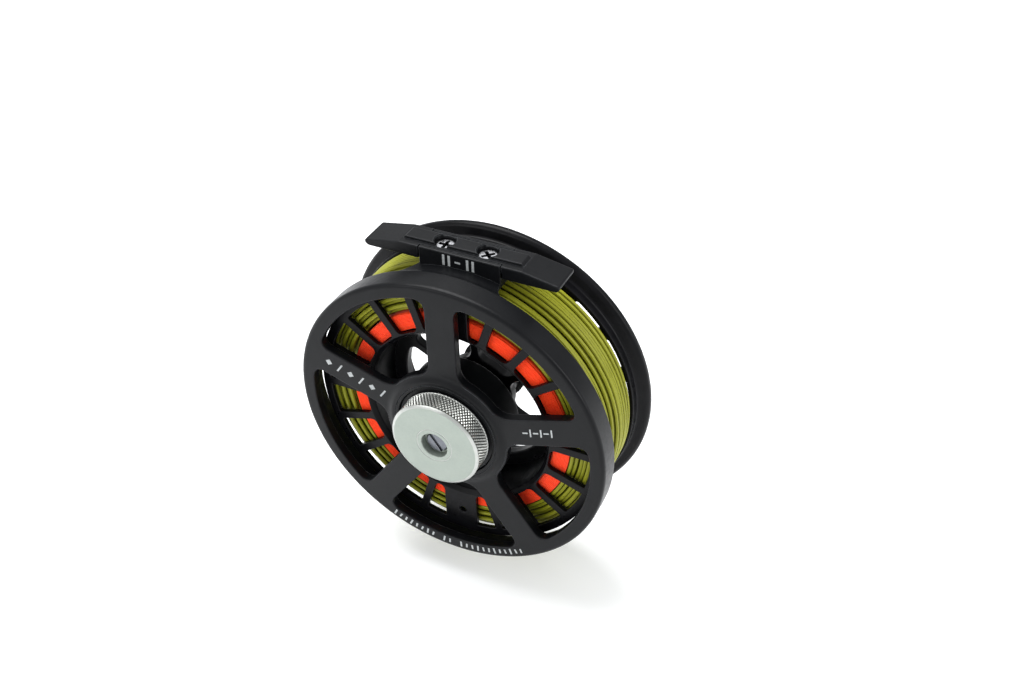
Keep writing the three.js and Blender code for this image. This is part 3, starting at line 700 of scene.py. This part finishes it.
def build_knob():
    rows = 56
    low, high = KNURL_Y[0] - KNURL_FADE, KNURL_Y[1] + KNURL_FADE
    wall = [(KNOB_R, low + (high - low) * k / rows, 0) for k in range(rows + 1)]
    profile = [
        (2.6, KNOB_SEAT, 0.1), (4.45, KNOB_SEAT, 0.1), (4.45, KNOB_FRONT, 0.3), (5.7, KNOB_FRONT, 0.05),
        (5.85, KNOB_FRONT + 0.14, 0.05), (6.1, KNOB_FRONT + 0.14, 0.05), (6.25, KNOB_FRONT, 0.05),
        (13.9, KNOB_FRONT, 0.12), (14.55, KNOB_FRONT + 0.35, 0.2),
    ] + wall + [
        (KNOB_R, -0.7, 0.05), (14.6, -0.4, 0.05), (12.6, -0.4, 0.1), (12.6, -5.2, 0.2), (6.4, -5.2, 0.2),
        (6.4, KNOB_SEAT + 0.8, 0.2), (2.6, KNOB_SEAT + 0.8, 0.1),
    ]
    knob = lathe("drag_knob", profile, KNURL * 10, relief=knurl, steps=3)
    knob.data.materials.append(SILVER_FACE)
    knob.data.materials.append(SILVER_KNURL)
    face_end = KNOB_FRONT + 0.12
    for polygon in knob.data.polygons:
        radius = math.hypot(polygon.center.x, polygon.center.z)
        polygon.material_index = 1 if polygon.center.y > face_end and radius > 4.6 else 0
    place(knob, "drag_knob", None, "knob_silver", "drag_knob", crease=50)

    under = KNOB_SEAT - 0.3
    front = under - 0.8
    screw = lathe("knob_screw", [
        (0, front), (3.3, front, 0.5), (3.6, front + 0.3), (3.6, under), (2.2, under), (1.9, KNOB_SEAT),
        (1.9, -1.6), (0, -1.6),
    ], SMALL)
    less(screw, slot_cut((0, 0), (-8, front + 0.5), 0.7, 5, -55))
    place(screw, own_body("knob_screw"), DARK_STEEL, "dark_steel", "knob_screw")


# ---------------------------------------------------------------- spool
def same_angle(a, b):
    return math.cos(math.radians(a - b)) > 0.9995


def flange_cuts(r_in, r_out, half, wide, y, corners, edge, skipped=()):
    pitch = 360 / SPOKES
    cuts = []
    for i in range(SPOKES):
        centre = SPOKE_START + pitch * (i + 0.5)
        if any(same_angle(centre, angle) for angle in skipped):
            continue
        before, after = (wide if any(same_angle(side, w) for w in WIDE_SPOKES) else half
                         for side in (centre - pitch / 2, centre + pitch / 2))
        outline = window(r_in, r_out, pitch / 2, before, *corners, centre, after)
        cuts.append(prism("opening", outline, cut_layers(*y, edge, 0.5)))
    return together(cuts)


def build_spool():
    section = [
        (ARBOR_BORE, NEAR_Y[1] - 0.2, 0.2), (ARBOR_R - 0.1, NEAR_Y[0], 0.2), (NEAR_R, NEAR_Y[0], 0.5),
        (NEAR_R, NEAR_Y[1], 0.5), (ARBOR_R, NEAR_Y[1], 0), (ARBOR_R, FAR_Y[0], 0), (50.0, FAR_Y[0], 0.4),
        (50.0, 33.4, 0.8), (52.9, 34.4, 0.8), (53.7, 35.3, 0.5), (53.7, 36.7, 0.5), (53.1, 37.5, 0.3),
        (51.8, 37.5, 0.3), (51.4, 37.0, 0.3), (51.4, 35.2, 0.8), (48.9, 34.4, 0.8),
        (48.9, FAR_Y[1], 0.8), (ARBOR_BORE, FAR_Y[1], 0.3),
    ]
    body = lathe("spool", section, LARGE, steps=10)
    less(body, flange_cuts(ARBOR_R + 0.25, NEAR_OPENINGS_R, 1.35, WIDE_HALF, NEAR_Y, (2.0, 0.6), 0.22))
    pads = (HANDLE_ANGLE, HANDLE_ANGLE - 180)
    less(body, flange_cuts(ARBOR_R + 2, FAR_OPENINGS_R, 2.1, 2.1, FAR_Y, (1.5, 1.0), 0.22, pads))

    web = lathe("web", ring_of(HUB_TUBE_R - 0.5, ARBOR_BORE + 0.5, *WEB_Y), LARGE, 0)
    pitch = 360 / WEB_ARMS
    holes = []
    for i in range(WEB_ARMS):
        outline = window(12.2, 26.0, pitch / 2, 1.3, 3.0, 3.0, 3 + pitch * i)
        holes.append(prism("web_window", outline, cut_layers(*WEB_Y, 0.4)))
    less(web, together(holes))
    plus(body, web)
    plus(body, lathe("tube", ring_of(7.3, HUB_TUBE_R, 17.2, 33.0), MIDDLE, 0.25))
    plus(body, lathe("seat", ring_of(3.7, 8.0, 32.2, 33.0), MIDDLE, 0.1))
    socket = lathe("socket", [(0, 17.25), (8.0, 17.25), (8.0, 20.6), (0, 20.6)], MIDDLE, 0.1)
    corner_r = (DRIVE_HEX + 0.6) / math.sqrt(3)
    hexagon = [polar(corner_r, 60 * i) for i in range(6)]
    less(socket, prism("hexagon", hexagon, [(10, 0), (30, 0)]))
    plus(body, socket)
    for centre in (HANDLE_AT, WEIGHT_AT):
        plus(body, lathe("boss", [(0, 30.4), (5.6, 30.4), (5.6, 33.6), (0, 33.6)], SMALL, 0.25, centre))
        less(body, lathe("bore", [(0, 25), (2.3, 25), (2.3, 40), (0, 40)], SMALL, 0, centre))
    tie_hole = [(0, 4), (1.5, 4), (1.5, NEAR_Y[0]), (1.2, NEAR_Y[0] + 0.3), (1.2, 9), (0, 9)]
    less(body, lathe("tie_hole", tie_hole, 32, 0, polar(*TIE_AT)))
    place(body, "spool", SPOOL_BLACK_WITH_SHADE, "anodised_black", "spool", crease=12)


# ---------------------------------------------------------------- line and backing
def strand(name, path, radius, sides=8):
    """A round strand along (r, y, angle) points."""
    verts, faces = [], []
    for r, y, angle in path:
        for k in range(sides):
            turn = 2 * math.pi * k / sides
            reach = r + radius * math.cos(turn)
            verts.append((reach * math.cos(angle), y + radius * math.sin(turn), reach * math.sin(angle)))
    for i in range(len(path) - 1):
        a, b = i * sides, (i + 1) * sides
        for j in range(sides):
            k = (j + 1) % sides
            faces.append((a + j, a + k, b + k, b + j))
    faces.append(tuple(range(sides)))
    faces.append(tuple(range(len(verts) - sides, len(verts))))
    return made(name, verts, faces)


LINE_THICK = 1.36
LINE_LAYERS = 8
LINE_BASE = 38.45                 # radius that the first layer lies on
LINE_R = 49.5
LINE_OUTLINE = [
    (8.1, 47.3), (10.6, 48.2), (13.3, 48.6), (16.6, 49.3), (20.1, LINE_R), (28.4, LINE_R), (29.9, 49.0),
]


def line_limit(y):
    """Outer radius of the wound line at y."""
    for (y0, r0), (y1, r1) in zip(LINE_OUTLINE, LINE_OUTLINE[1:]):
        if y <= y1:
            return r0 + (r1 - r0) * (y - y0) / (y1 - y0)
    return LINE_OUTLINE[-1][1]


def line_start(reach):
    """Where a layer of the line that reaches out to a radius starts."""
    y = WOUND[0]
    while line_limit(y) < reach - 0.12:
        y += 0.1
    return y


def build_line():
    """One strand laid on turn by turn, in layers that go to and fro between the flanges."""
    radius = LINE_THICK / 2
    pitch = 1.46
    calm = 1.5
    draw = random.Random(7)
    per_turn = 96
    path = []
    length = 0.0
    angle = math.radians(200)
    forward = True
    for layer in range(LINE_LAYERS):
        layer_r = LINE_BASE + radius + (LINE_R - LINE_BASE - 2 * radius) * layer / (LINE_LAYERS - 1)
        low = line_start(layer_r + radius) + radius
        high = WOUND[1] - radius
        turns = int((high - low) / pitch)
        gaps = [draw.uniform(0.88, 1.2) for _ in range(turns)]
        edges = [low + (high - low) * sum(gaps[:k]) / sum(gaps) for k in range(turns + 1)]
        if not forward:
            edges.reverse()
        wander = [(draw.uniform(0.1, 0.3), draw.choice((1, 2, 3)), draw.uniform(0, 6.28)) for _ in range(3)]
        for turn in range(turns):
            lift = draw.uniform(-0.4, 0.2)
            shift = draw.choice((0.1, 0.2, 0.9)) * draw.choice((-1, 1))
            phase = draw.uniform(0, 6.28)
            for k in range(per_turn):
                share = k / per_turn
                y = edges[turn] + (edges[turn + 1] - edges[turn]) * share
                sway = sum(size * math.sin(waves * angle + start) for size, waves, start in wander)
                bow = math.sin(math.pi * share) ** 2
                free = max(0.0, min(1.0, (y - low) / calm, (high - y) / calm))
                y = min(high, max(low, y + free * (sway + shift * bow * math.sin(angle + phase))))
                r = min(layer_r + lift * bow, line_limit(y) - radius)
                path.append((r, y, angle))
                angle += 2 * math.pi / per_turn
                length += r * 2 * math.pi / per_turn
        forward = not forward
    print("fly line length, m:", round(length / 1000, 2))
    place(strand("fly_line_winding", path, radius), "spool", LINE, "fly_line", "fly_line_winding")


BACKING_R = (32.3, 38.1)
BACKING_TURNS = 12


def build_backing():
    """A plain core, with the turns that lie against each flange as strands."""
    radius = 0.24
    inner, outer = BACKING_R
    core = lathe("backing_winding", ring_of(inner, outer - 0.25, 9.0, 29.0), LARGE, 0.2)
    pieces = [core]
    per_turn = 90
    steps = BACKING_TURNS * per_turn
    for start, way in ((WOUND[0], 1), (WOUND[1], -1)):
        path = []
        angle = 0.0
        for column in range(2):
            for k in range(steps + 1):
                share = k / steps if column == 0 else 1 - k / steps
                r = inner + radius + (outer - inner - 2 * radius) * share
                deep = radius + 0.04 + column * 0.46
                y = start + way * (deep + 0.05 * math.sin(angle * 5.3 + column) * math.sin(angle * 0.7))
                path.append((r, y, angle))
                angle += 2 * math.pi / per_turn
        pieces.append(strand("backing_strand", path, radius, 6))
    place(together(pieces), "spool", BACKING, "backing", "backing_winding")


# ---------------------------------------------------------------- turned pieces
BALLS = 9
STUD = 2.0                        # radius of the two threaded studs
GRIP_FOOT = 35.0
GRIP_END = 55.4
HEAD = GRIP_END - 1.5             # underside of the handle post's head
SPINDLE = [
    (0, -1.2), (2.2, -1.2), (2.2, -4.1), (3.0, -4.1), (3.0, 3.0), (3.2, 3.0), (3.2, 3.5), (5.6, 3.5),
    (5.6, 4.3), (3.2, 4.3), (3.2, 33.4), (2.3, 33.4), (2.3, 34.8), (3.2, 34.8), (3.2, 35.6), (2.4, 36.2),
    (0, 36.2),
]
ROTOR = [(7.4, 6.2), (8.6, 6.2), (8.6, 8.0), (15.2, 8.0), (15.2, 9.0), (8.6, 9.0), (8.6, 10.8), (7.4, 10.8)]
DISC_SPRING = [(7.0, 4.9), (7.2, 4.9), (11.0, 5.2), (11.0, 5.6), (10.8, 5.6), (7.0, 5.3)]
HANDLE = [
    (2.9, GRIP_FOOT), (6.0, GRIP_FOOT, 0.4), (6.5, GRIP_FOOT + 0.7, 0.5), (6.3, GRIP_FOOT + 2.6, 1.0),
    (5.25, GRIP_FOOT + 7, 3.0), (5.35, GRIP_FOOT + 11, 3.0), (6.6, GRIP_FOOT + 16.5, 2.0),
    (6.6, GRIP_FOOT + 18.7, 0.8), (5.6, GRIP_END, 0.8), (3.9, GRIP_END, 0.2), (3.9, GRIP_END - 1.8, 0.1),
    (2.9, GRIP_END - 1.8, 0.1),
]
# Each turned piece: CAD node, material, slot, section and broken edge.
TURNED = [
    ("knob_seal", RUBBER, "seal_rubber", ring_of(13.2, 14.2, 0.1, 1.0), 0.4),
    ("spindle", STEEL, "bright_steel", SPINDLE, 0.1),
    ("thrust_ring", DARK_STEEL, "dark_steel", ring_of(7.6, 11.2, 4.0, 4.6), 0.1),
    ("disc_spring", STEEL, "bright_steel", DISC_SPRING, 0.06),
    ("pressure_plate", STEEL, "bright_steel", ring_of(9.0, 15.6, 5.9, 6.7), 0.1),
    ("drag_rotor", DARK_STEEL, "dark_steel", ROTOR, 0.1),
    ("friction_disc_front", CARBON, "carbon_disc", ring_of(9.2, 15.2, 7.0, 7.7), 0.08),
    ("friction_disc_rear", CARBON, "carbon_disc", ring_of(9.2, 15.2, 9.3, 10.0), 0.08),
    ("backing_plate", STEEL, "bright_steel", ring_of(9.0, 15.8, 10.3, 10.9), 0.1),
    ("one_way_clutch", STEEL, "bright_steel", ring_of(5.2, 7.1, 6.4, 10.6), 0.15),
    ("housing_cap", BLACK, "anodised_black", ring_of(6.6, 15.9, 11.2, 12.6), 0.2),
    ("shaft_seal", RUBBER, "seal_rubber", ring_of(5.2, 6.3, 11.4, 12.4), 0.25),
    ("bearing_spacer", DARK_STEEL, "dark_steel", ring_of(6.1, 7.0, 24.5, 28.5), 0.1),
]


def own_body(node):
    """The CAD body that a node rides on."""
    return frame["nodes"][node]["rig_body"]


def build_turned():
    for node, material, slot_name, profile, cut in TURNED:
        place(lathe(node, profile, MIDDLE, cut), own_body(node), material, slot_name, node)
    for i in range(PINS):
        node = f"push_pin_{i + 1}"
        pin = lathe(node, [(0, -2.3), (1, -2.3), (1, 3.1), (0, 3.1)], SMALL, 0.2, pin_at(i))
        place(pin, own_body(node), STEEL, "bright_steel", node)
    for end, low, high in (("front", 21.2, 24.2), ("rear", 28.8, 31.8)):
        middle = (low + high) / 2
        for part, inner, outer in (("inner_race", 3.5, 4.4), ("outer_race", 6.1, 7.0)):
            node = f"{end}_bearing_{part}"
            race = lathe(node, ring_of(inner, outer, low, high), MIDDLE, 0.15)
            place(race, own_body(node), STEEL, "bright_steel", node)
        node = f"{end}_bearing_ball_cage"
        parts = [lathe(node, ring_of(4.9, 5.6, middle - 0.35, middle + 0.35), MIDDLE, 0.1)]
        profile = [(0.5 * math.sin(math.pi * k / 12), middle - 0.72 * math.cos(math.pi * k / 12))
                   for k in range(13)]
        profile[0], profile[-1] = (0, middle - 0.72), (0, middle + 0.72)
        parts += [lathe("ball", profile, 20, 0, polar(5.25, 360 / BALLS * i)) for i in range(BALLS)]
        place(together(parts), own_body(node), BRONZE, "bronze", node)

    grip = lathe("handle_knob", HANDLE, MIDDLE, 0.2, HANDLE_AT, steps=8)
    place(grip, "handle_knob", RESIN, "handle_resin", "handle_knob")
    post = lathe("handle_post", [
        (0, 31.0), (STUD, 31.0), (STUD, 34.0), (2.6, 34.0), (2.6, HEAD), (3.5, HEAD), (3.5, HEAD + 0.9, 0.3),
        (3.2, HEAD + 1.2, 0.3), (0, HEAD + 1.2),
    ], SMALL, 0.08, HANDLE_AT)
    less(post, slot_cut(HANDLE_AT, (HEAD + 0.6, HEAD + 3), 0.4, 4))
    place(post, own_body("handle_post"), STEEL, "bright_steel", "handle_post")
    washer = lathe("handle_washer", ring_of(2.9, 5.2, 33.9, 34.7), SMALL, 0.12, HANDLE_AT)
    place(washer, own_body("handle_washer"), BRONZE, "bronze", "handle_washer")
    weight = lathe("counterweight", ring_of(2.3, 6.4, 33.9, 36.0), MIDDLE, 0.4, WEIGHT_AT)
    place(weight, own_body("counterweight"), DARK_STEEL, "bright_steel", "counterweight")
    screw = lathe("counterweight_screw", [
        (0, 31.0), (STUD, 31.0), (STUD, 36.3), (3.2, 36.3), (3.2, 37.0, 0.3), (2.9, 37.3, 0.2), (0, 37.3),
    ], SMALL, 0.08, WEIGHT_AT)
    less(screw, slot_cut(WEIGHT_AT, (36.8, 38), 0.4, 4))
    place(screw, own_body("counterweight_screw"), STEEL, "bright_steel", "counterweight_screw")


def build_hub_cap():
    travel = 3.4
    cap = lathe("hub_cap", [
        (0, 33.3), (11.2, 33.3, 0.2), (11.2, 36.3, 0.6), (10.0, 37.4, 0.6), (5.2, 37.4, 0.2),
        (4.9, 37.15, 0.2), (0, 37.15),
    ], MIDDLE)
    less(cap, lathe("well", [(0, 30), (3.7, 30), (3.7, 36.6), (0, 36.6)], SMALL, 0))
    less(cap, block("way", (-10.5, 20), (33.4, 34.8), (-4.3, 4.3)))
    place(cap, own_body("hub_cap"), BLACK, "anodised_black", "hub_cap")

    tab = 11.6 + travel
    latch = block("release_latch", (-4.2, tab + 1), (33.7, 34.5), (-4.0, 4.0), 0.12)
    lever = block("lever", (tab, tab + 1.8), (33.75, 36.6), (-4.0, 4.0), 0.3)
    plus(latch, lever)
    ridges = []
    for y in (34.4, 35.2, 36.0):
        ridges.append(block("ridge", (tab + 1.4, tab + 2.4), (y, y + 0.35), (-5, 5)))
    less(latch, together(ridges))
    less(latch, lathe("wide", [(0, 30), (3.5, 30), (3.5, 40), (0, 40)], SMALL, 0, (travel, 0)))
    less(latch, lathe("narrow", [(0, 30), (2.6, 30), (2.6, 40), (0, 40)], SMALL, 0))
    less(latch, block("throat", (0, travel), (30, 40), (-2.6, 2.6)))
    place(latch, own_body("release_latch"), SILVER_FACE, "knob_silver", "release_latch")


# CAD nodes that keep their own shape and get a finish and broken edges.
KEPT = {
    "adjuster_nut": (BRONZE, "bronze"), "spindle_nut": (DARK_STEEL, "dark_steel"),
    "housing_circlip": (STEEL, "bright_steel"), "click_gear": (BRONZE, "bronze"),
    "click_pawl": (STEEL, "bright_steel"), "pawl_pin": (STEEL, "bright_steel"),
    "pawl_spring": (STEEL, "bright_steel"), "pawl_spring_screw": (DARK_STEEL, "dark_steel"),
    "drive_hub": (DARK_STEEL, "dark_steel"), "latch_spring": (STEEL, "bright_steel"),
}


def finish_kept():
    for node, (material, slot_name) in KEPT.items():
        thing = frame["nodes"][node]
        thing.data.materials.clear()
        thing.data.materials.append(material)
        if node != "latch_spring":
            broken = thing.modifiers.new("broken_edges", "BEVEL")
            broken.width = 0.1 * MM
            broken.segments = 2
            broken.limit_method = "ANGLE"
            broken.angle_limit = math.radians(35)
            broken.harden_normals = False


# ---------------------------------------------------------------- generic marks
def mark(outline, centre, degrees, y):
    """A thin painted shape on a face at y."""
    turn = Matrix.Rotation(math.radians(degrees), 2)
    points = [tuple(turn @ Vector(p) + Vector(centre)) for p in outline]
    proud = 0.03
    return prism("mark", points, [(y - proud, -0.02), (y - proud / 2, 0), (y + proud, 0)])


def bar(width, height, lean=0.0):
    """Outline of an upright or leaning bar."""
    w, h = width / 2, height / 2
    return [(-w - lean, -h), (w - lean, -h), (w + lean, h), (-w + lean, h)]


def build_marks():
    marks = []
    for i in range(6):
        centre = polar(43.0 - 4.0 * i, 161.5)
        shape = bar(0.6, 3.3, 0.5) if i % 2 else bar(1.7, 1.7)
        marks.append(mark(shape, centre, -18.5 if i % 2 else 26.5, 0.0))
    for i in range(3):
        marks.append(mark(bar(1.8, 0.5), polar(28.4 + 3.6 * i, 18), 18, 0.0))
        marks.append(mark(bar(0.5, 2.8, 0.3), polar(30.2 + 3.6 * i, 18), 18, 0.0))
    for i in range(24):
        if i in (8, 11):
            continue
        angle = -116 + 56 * i / 23
        tall = 1.7 if i % 3 else 2.3
        marks.append(mark(bar(0.62, tall, 0.14 if i % 2 else 0), polar(49.65, angle), angle + 90, 0.0))
    for x, width in ((-5.0, 0.8), (-3.2, 0.8), (-0.4, 1.8), (2.8, 0.8), (4.6, 0.8)):
        height = 0.6 if width > 1 else 3.6
        marks.append(mark(bar(width, height), (x, 53.3), 0, POST_Y[0]))
    place(together(marks), "frame_assembly", MARK, "knob_silver")


# ---------------------------------------------------------------- stage
def area_light(name, at, aim, size, power, colour=(1, 1, 1)):
    light = bpy.data.lights.new(name, "AREA")
    light.shape = "RECTANGLE"
    light.size, light.size_y = size
    light.energy = power
    light.color = colour
    holder = bpy.data.objects.new(name, light)
    holder.location = at
    holder.rotation_euler = (Vector(aim) - Vector(at)).to_track_quat("-Z", "Y").to_euler()
    scene.collection.objects.link(holder)


FLOOR_HALF = 4                    # metres


def build_stage():
    floor_z = cad_low.z - 0.012
    corners = [(-FLOOR_HALF, -FLOOR_HALF), (FLOOR_HALF, -FLOOR_HALF), (FLOOR_HALF, FLOOR_HALF),
               (-FLOOR_HALF, FLOOR_HALF)]
    mesh = bpy.data.meshes.new("floor")
    mesh.from_pydata([(x, y, floor_z) for x, y in corners], [], [(0, 1, 2, 3)])
    floor = bpy.data.objects.new("floor", mesh)
    scene.collection.objects.link(floor)
    paper = (Finish("floor_paper", linear(246, 247, 248), 0.7, 0.0, 0.2)
             .mottle(300, linear(240, 241, 243), 0.3).uneven(40, 0.05).grain(1.5, 0.02).done())
    set_input(paper, "Emission Color", (1, 1, 1, 1))
    set_input(paper, "Emission Strength", 0.16)
    mesh.materials.append(paper)

    world = bpy.data.worlds.new("studio")
    scene.world = world
    world.use_nodes = True
    back = world.node_tree.nodes["Background"]
    back.inputs["Color"].default_value = (0.97, 0.98, 1.0, 1)
    back.inputs["Strength"].default_value = 0.72
    middle = (cad_low + cad_high) / 2
    area_light("key", middle + Vector((-0.28, 0.12, 0.85)), middle, (0.8, 0.6), 11.0)
    area_light("front", middle + Vector((-0.55, -0.85, 0.5)), middle, (0.7, 0.5), 3.0)
    area_light("side", middle + Vector((0.95, 0.05, 0.4)), middle, (0.3, 0.7), 4.0)


CAMERA_AT = (138.5, -232.7, 240.1)
CAMERA_LOOK = (-0.3523, 0.7123, -0.607)
CAMERA_RIGHT = (0.9024, 0.4306, -0.0185)
CAMERA_LENS = 41.08


def build_camera():
    camera = bpy.data.cameras.new("camera")
    camera.sensor_width = 36.0
    camera.lens = CAMERA_LENS
    camera.clip_start = 0.01
    holder = bpy.data.objects.new("camera", camera)
    scene.collection.objects.link(holder)
    look = Vector(CAMERA_LOOK).normalized()
    up = Vector(CAMERA_RIGHT).cross(look).normalized()
    turn = Matrix((look.cross(up), up, -look)).transposed().to_4x4()
    holder.matrix_world = Matrix.Translation(TO_ROW @ Vector(CAMERA_AT)) @ turn
    scene.camera = holder


build_frame()
build_foot()
build_knob()
build_spool()
build_line()
build_backing()
build_turned()
build_hub_cap()
finish_kept()
build_marks()
build_stage()
build_camera()
